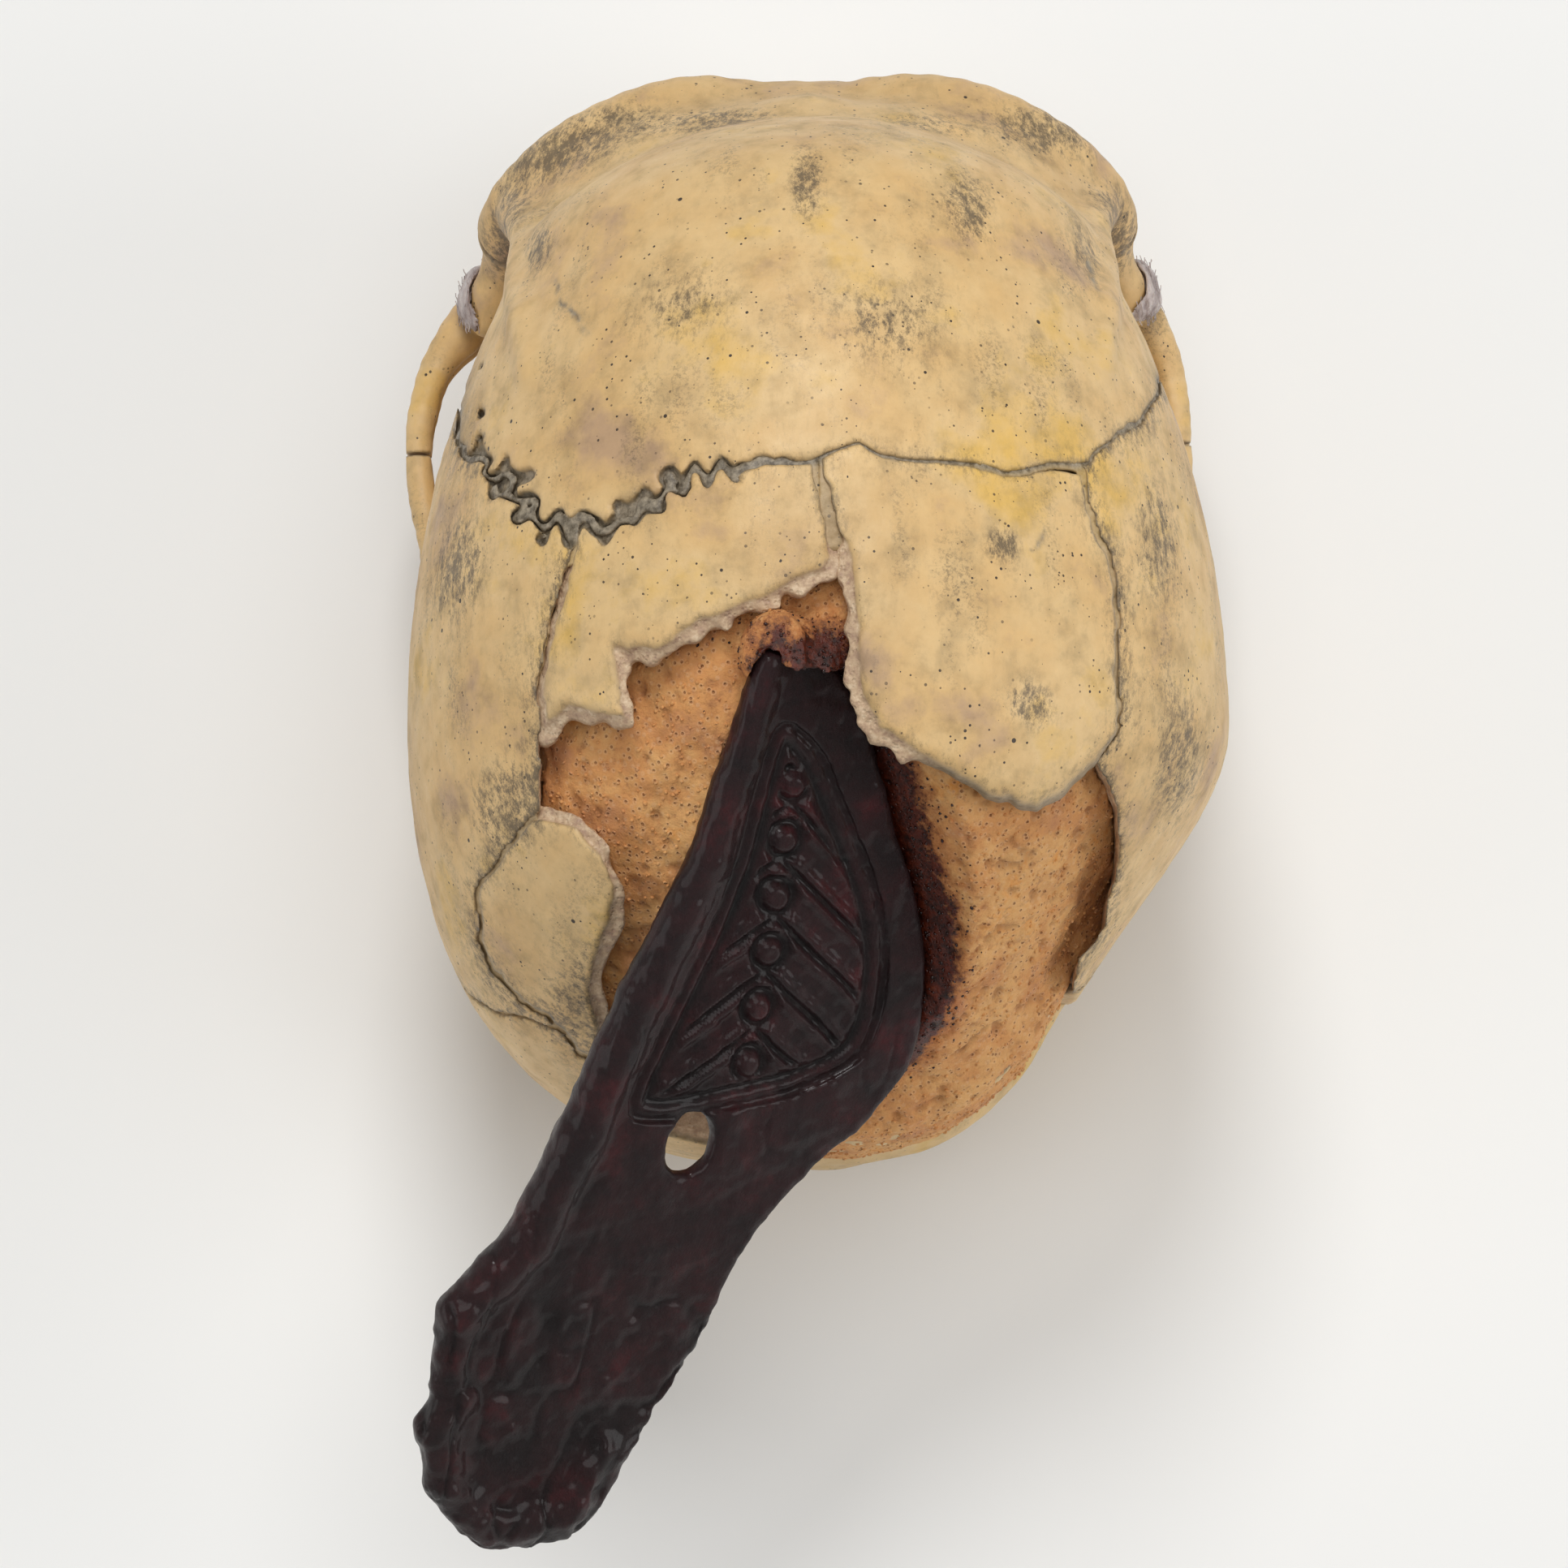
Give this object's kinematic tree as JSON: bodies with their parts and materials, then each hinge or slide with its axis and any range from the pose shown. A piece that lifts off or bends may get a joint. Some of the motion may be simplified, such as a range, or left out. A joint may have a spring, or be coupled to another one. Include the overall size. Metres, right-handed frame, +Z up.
{
  "type": "skull replica",
  "caption": "human cranium replica with a broken-open vault on a porous filling and a carved blade set into it; stands on its upper teeth and occiput as a display or teaching piece",
  "frame": {"origin": "on the ground, below the middle of the whole piece's box", "axes": "+X is the skull's right, +Y its face, the long way from the blade's end to the brow, +Z up"},
  "size_m": [0.1418, 0.2636, 0.1616],
  "materials": {
    "frontal_bone": "matte",
    "left_parietal_bone": "matte",
    "right_parietal_bone": "matte",
    "left_vault_plate": "matte",
    "right_vault_plate": "matte",
    "lambda_fragment": "matte",
    "occipital_bone": "matte",
    "left_temporal_bone": "matte",
    "right_temporal_bone": "matte",
    "sphenoid_bone": "matte",
    "ethmoid_bone": "matte",
    "vomer": "matte",
    "left_zygomatic_bone": "matte",
    "right_zygomatic_bone": "matte",
    "left_maxilla": "matte",
    "right_maxilla": "matte",
    "left_nasal_bone": "matte",
    "right_nasal_bone": "matte",
    "left_palatine_bone": "matte",
    "right_palatine_bone": "matte",
    "tooth": "satin",
    "filler_core": "matte",
    "carved_blade": "satin",
    "left_cheek_glue": "gloss",
    "right_cheek_glue": "gloss"
  },
  "bodies": {
    "root": {"frontal_bone": "frontal_bone", "left_parietal_bone": "left_parietal_bone", "right_parietal_bone": "right_parietal_bone", "left_vault_plate": "left_vault_plate", "right_vault_plate": "right_vault_plate", "lambda_fragment": "lambda_fragment", "occipital_bone": "occipital_bone", "left_temporal_bone": "left_temporal_bone", "right_temporal_bone": "right_temporal_bone", "sphenoid_bone": "sphenoid_bone", "ethmoid_bone": "ethmoid_bone", "vomer": "vomer", "left_zygomatic_bone": "left_zygomatic_bone", "right_zygomatic_bone": "right_zygomatic_bone", "left_maxilla": "left_maxilla", "right_maxilla": "right_maxilla", "left_nasal_bone": "left_nasal_bone", "right_nasal_bone": "right_nasal_bone", "left_palatine_bone": "left_palatine_bone", "right_palatine_bone": "right_palatine_bone", "left_central_incisor": "tooth", "left_lateral_incisor": "tooth", "left_canine": "tooth", "left_first_premolar": "tooth", "left_second_premolar": "tooth", "left_first_molar": "tooth", "left_second_molar": "tooth", "left_third_molar": "tooth", "right_central_incisor": "tooth", "right_lateral_incisor": "tooth", "right_canine": "tooth", "right_first_premolar": "tooth", "right_second_premolar": "tooth", "right_first_molar": "tooth", "right_second_molar": "tooth", "right_third_molar": "tooth", "filler_core": "filler_core", "carved_blade": "carved_blade", "left_cheek_glue": "left_cheek_glue", "right_cheek_glue": "right_cheek_glue"}
  },
  "joints": []
}
